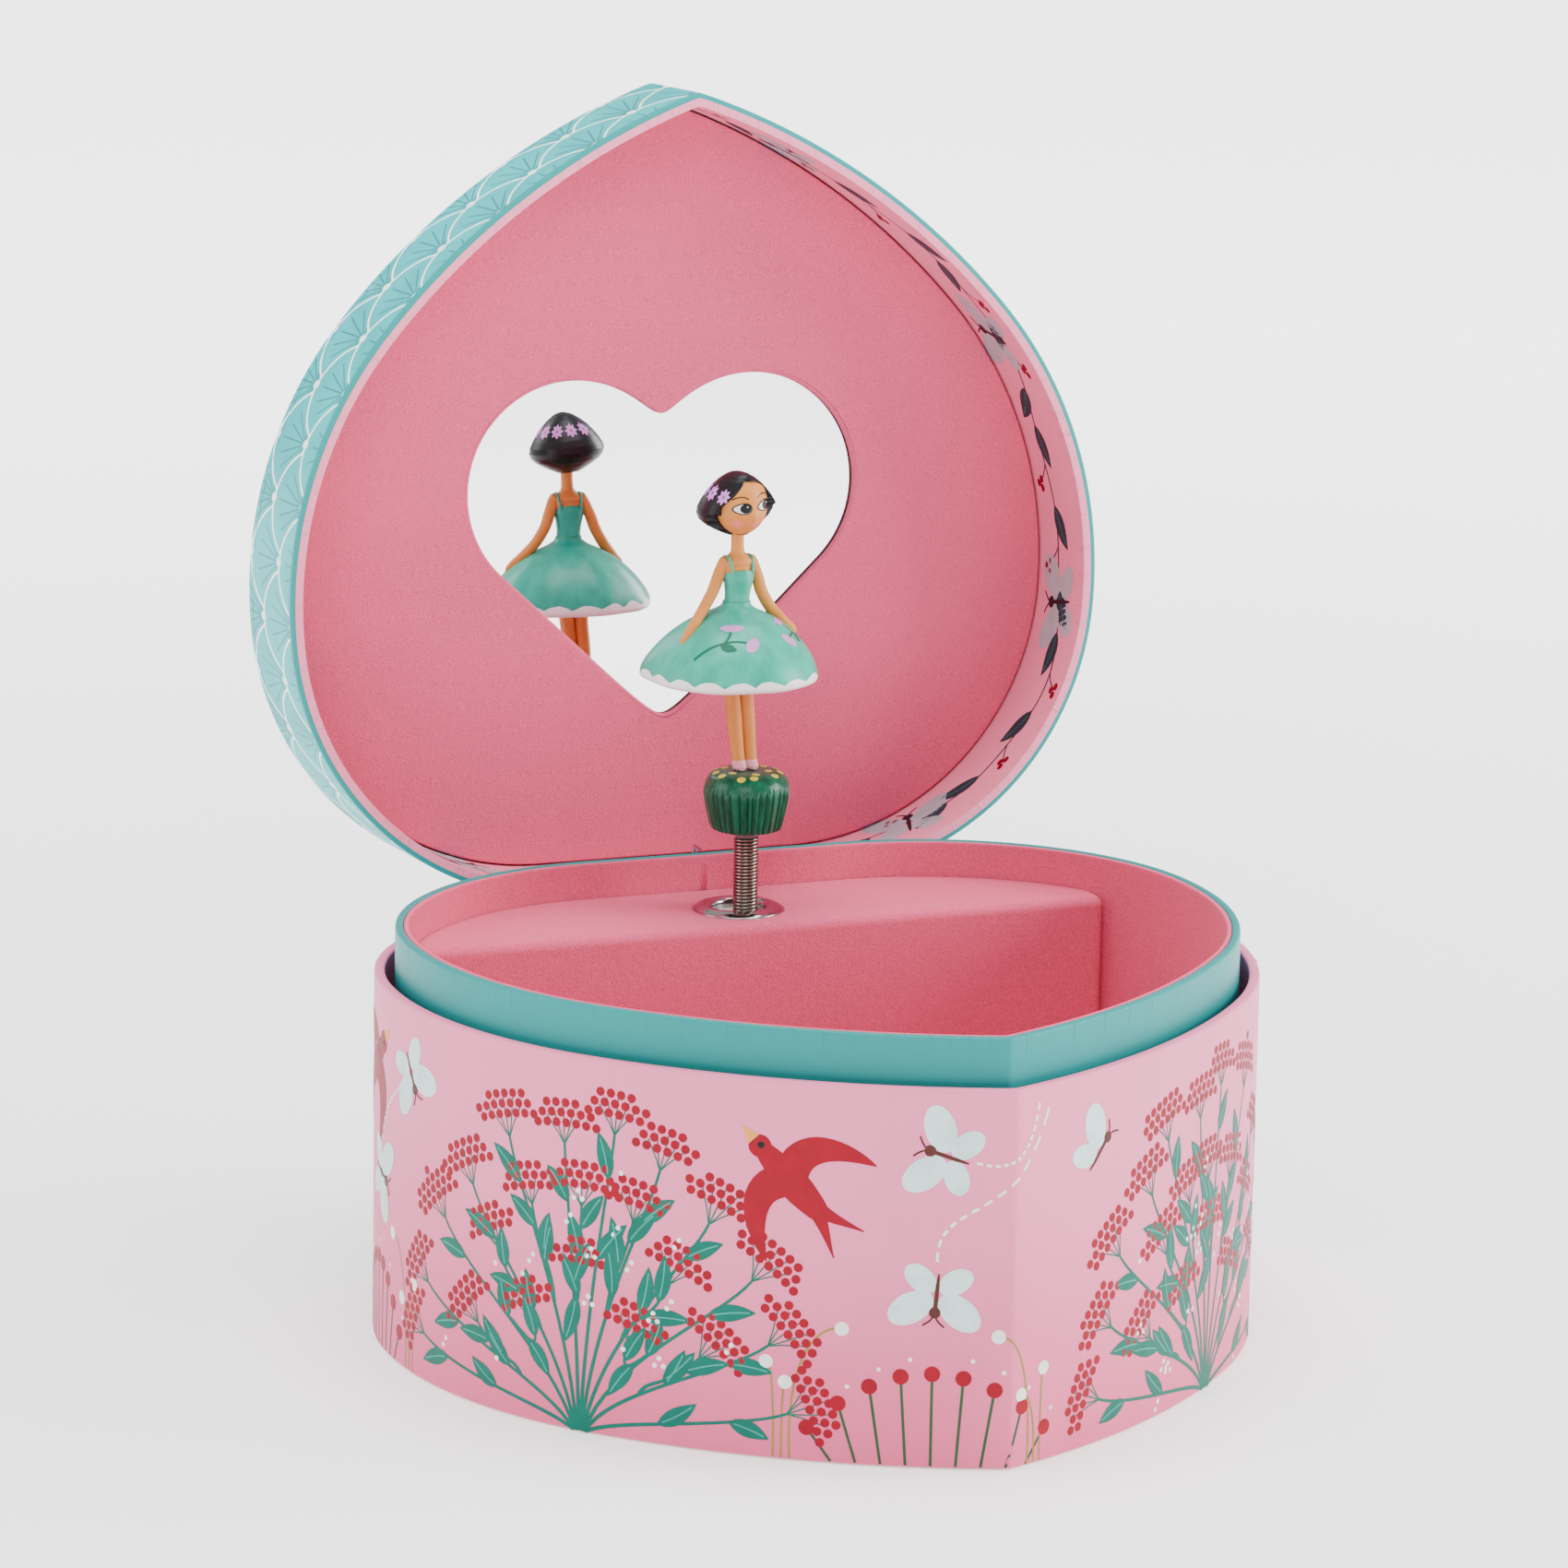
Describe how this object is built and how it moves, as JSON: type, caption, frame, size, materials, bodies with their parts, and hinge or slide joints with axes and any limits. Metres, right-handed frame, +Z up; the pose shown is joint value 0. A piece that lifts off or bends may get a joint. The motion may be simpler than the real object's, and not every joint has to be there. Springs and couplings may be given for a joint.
{
  "type": "wind up music box",
  "caption": "Pointed heart-plan card music box with a hinged lid, heart mirror, jewellery compartment, wind-up movement and a turning dancer on a spring.",
  "frame": {"origin": "under the middle of the base, on the table", "axes": "+Z up, front corner towards -Y, hinge at the back towards +Y, lid open"},
  "size_m": [0.165, 0.1883, 0.2225],
  "materials": {
    "printed_paper": "pink printed paper with a soft sheen",
    "turquoise_paper": "plain turquoise cover paper",
    "fan_paper": "turquoise paper printed with white fans",
    "flock": "short pink flock",
    "greyboard": "bare board",
    "base_paper": "pale paper",
    "mirror": "silvered acrylic",
    "nickel": "nickel plated",
    "spring_steel": "bare spring steel, warm tint",
    "blued_steel": "ground steel",
    "zinc": "die-cast, as cast",
    "brass": "machined",
    "white_plastic": "moulded acetal",
    "plug_grey": "grey moulded",
    "plinth_green": "painted dark green, yellow dots",
    "doll_paint": "painted figure"
  },
  "bodies": {
    "base": {"bottom_paper": "base_paper", "bottom_board": "greyboard", "outer_wall": "printed_paper", "neck_wall": "turquoise_paper", "neck_lining": "flock", "compartment_floor": "flock", "mechanism_cover": "flock", "eyelet": "nickel", "spindle_bush": "white_plastic", "hinge_tape_base": "turquoise_paper", "movement_frame": "zinc", "frame_screws": "blued_steel", "comb": "blued_steel", "comb_screws": "blued_steel"},
    "lid": {"lid_wall": "fan_paper", "lid_lining": "printed_paper", "lid_top": "fan_paper", "lid_panel": "flock", "mirror": "mirror", "panel_backing": "greyboard", "hinge_tape_lid": "turquoise_paper"},
    "barrel": {"mainspring_barrel": "brass", "barrel_lid": "brass", "mainspring": "spring_steel"},
    "key": {"winding_arbor": "blued_steel", "ratchet_wheel": "blued_steel", "winding_key": "nickel"},
    "click": {"click": "blued_steel"},
    "cylinder": {"cylinder_arbor": "blued_steel", "pinned_cylinder": "brass", "train_wheel": "brass"},
    "governor": {"governor_arbor": "blued_steel", "governor_fan": "white_plastic"},
    "spindle": {"dancer_spindle": "blued_steel", "spindle_pinion": "white_plastic"},
    "stop_wire": {"stop_wire": "blued_steel"},
    "spring": {"dancer_spring": "spring_steel"},
    "dancer": {"spring_plug": "plug_grey", "dancer_plinth": "plinth_green", "dancer_figure": "doll_paint"}
  },
  "joints": [
    {"name": "lid_hinge", "type": "hinge", "parent": "base", "child": "lid", "pos_m": [0, 0.07671, 0.06925], "axis": [1, 0, 0], "range_deg": [0, 93]},
    {"name": "barrel_spin", "type": "hinge", "parent": "base", "child": "barrel", "pos_m": [0, 0.06271, 0.03], "axis": [0, 1, 0], "continuous": true},
    {"name": "key_turn", "type": "hinge", "parent": "base", "child": "key", "pos_m": [0, 0.07671, 0.03], "axis": [0, 1, 0], "continuous": true},
    {"name": "click_lift", "type": "hinge", "parent": "base", "child": "click", "pos_m": [-0.009, 0.04871, 0.0345], "axis": [0, -1, 0], "range_deg": [0, 14], "stiffness_Nm_per_rad": 0.002},
    {"name": "cylinder_spin", "type": "hinge", "parent": "base", "child": "cylinder", "pos_m": [0.029, 0.05471, 0.03], "axis": [1, 0, 0], "continuous": true},
    {"name": "governor_spin", "type": "hinge", "parent": "base", "child": "governor", "pos_m": [0.046, 0.05471, 0.0401], "axis": [1, 0, 0], "continuous": true},
    {"name": "spindle_spin", "type": "hinge", "parent": "base", "child": "spindle", "pos_m": [0, 0.05471, 0.05], "axis": [0, 0, 1], "continuous": true},
    {"name": "stop_wire_rock", "type": "hinge", "parent": "base", "child": "stop_wire", "pos_m": [-0.003, 0.07131, 0.0641], "axis": [1, 0, 0], "range_deg": [0, 4]},
    {"name": "spring_fold", "type": "hinge", "parent": "base", "child": "spring", "pos_m": [0, 0.05351, 0.0718], "axis": [1, 0, 0], "range_deg": [0, 90], "deforming": ["dancer_spring"]},
    {"name": "dancer_spin", "type": "hinge", "parent": "spring", "child": "dancer", "pos_m": [0, 0.05471, 0.086], "axis": [0, 0, 1], "continuous": true}
  ],
  "couplings": [
    {"joint": "cylinder_spin", "follows": "barrel_spin", "ratio": -5},
    {"joint": "governor_spin", "follows": "barrel_spin", "ratio": 20},
    {"joint": "spindle_spin", "follows": "barrel_spin", "ratio": -5},
    {"joint": "dancer_spin", "follows": "barrel_spin", "ratio": -5},
    {"joint": "spring_fold", "follows": "lid_hinge", "ratio": 0.96774},
    {"joint": "stop_wire_rock", "follows": "lid_hinge", "ratio": 0.04301}
  ]
}
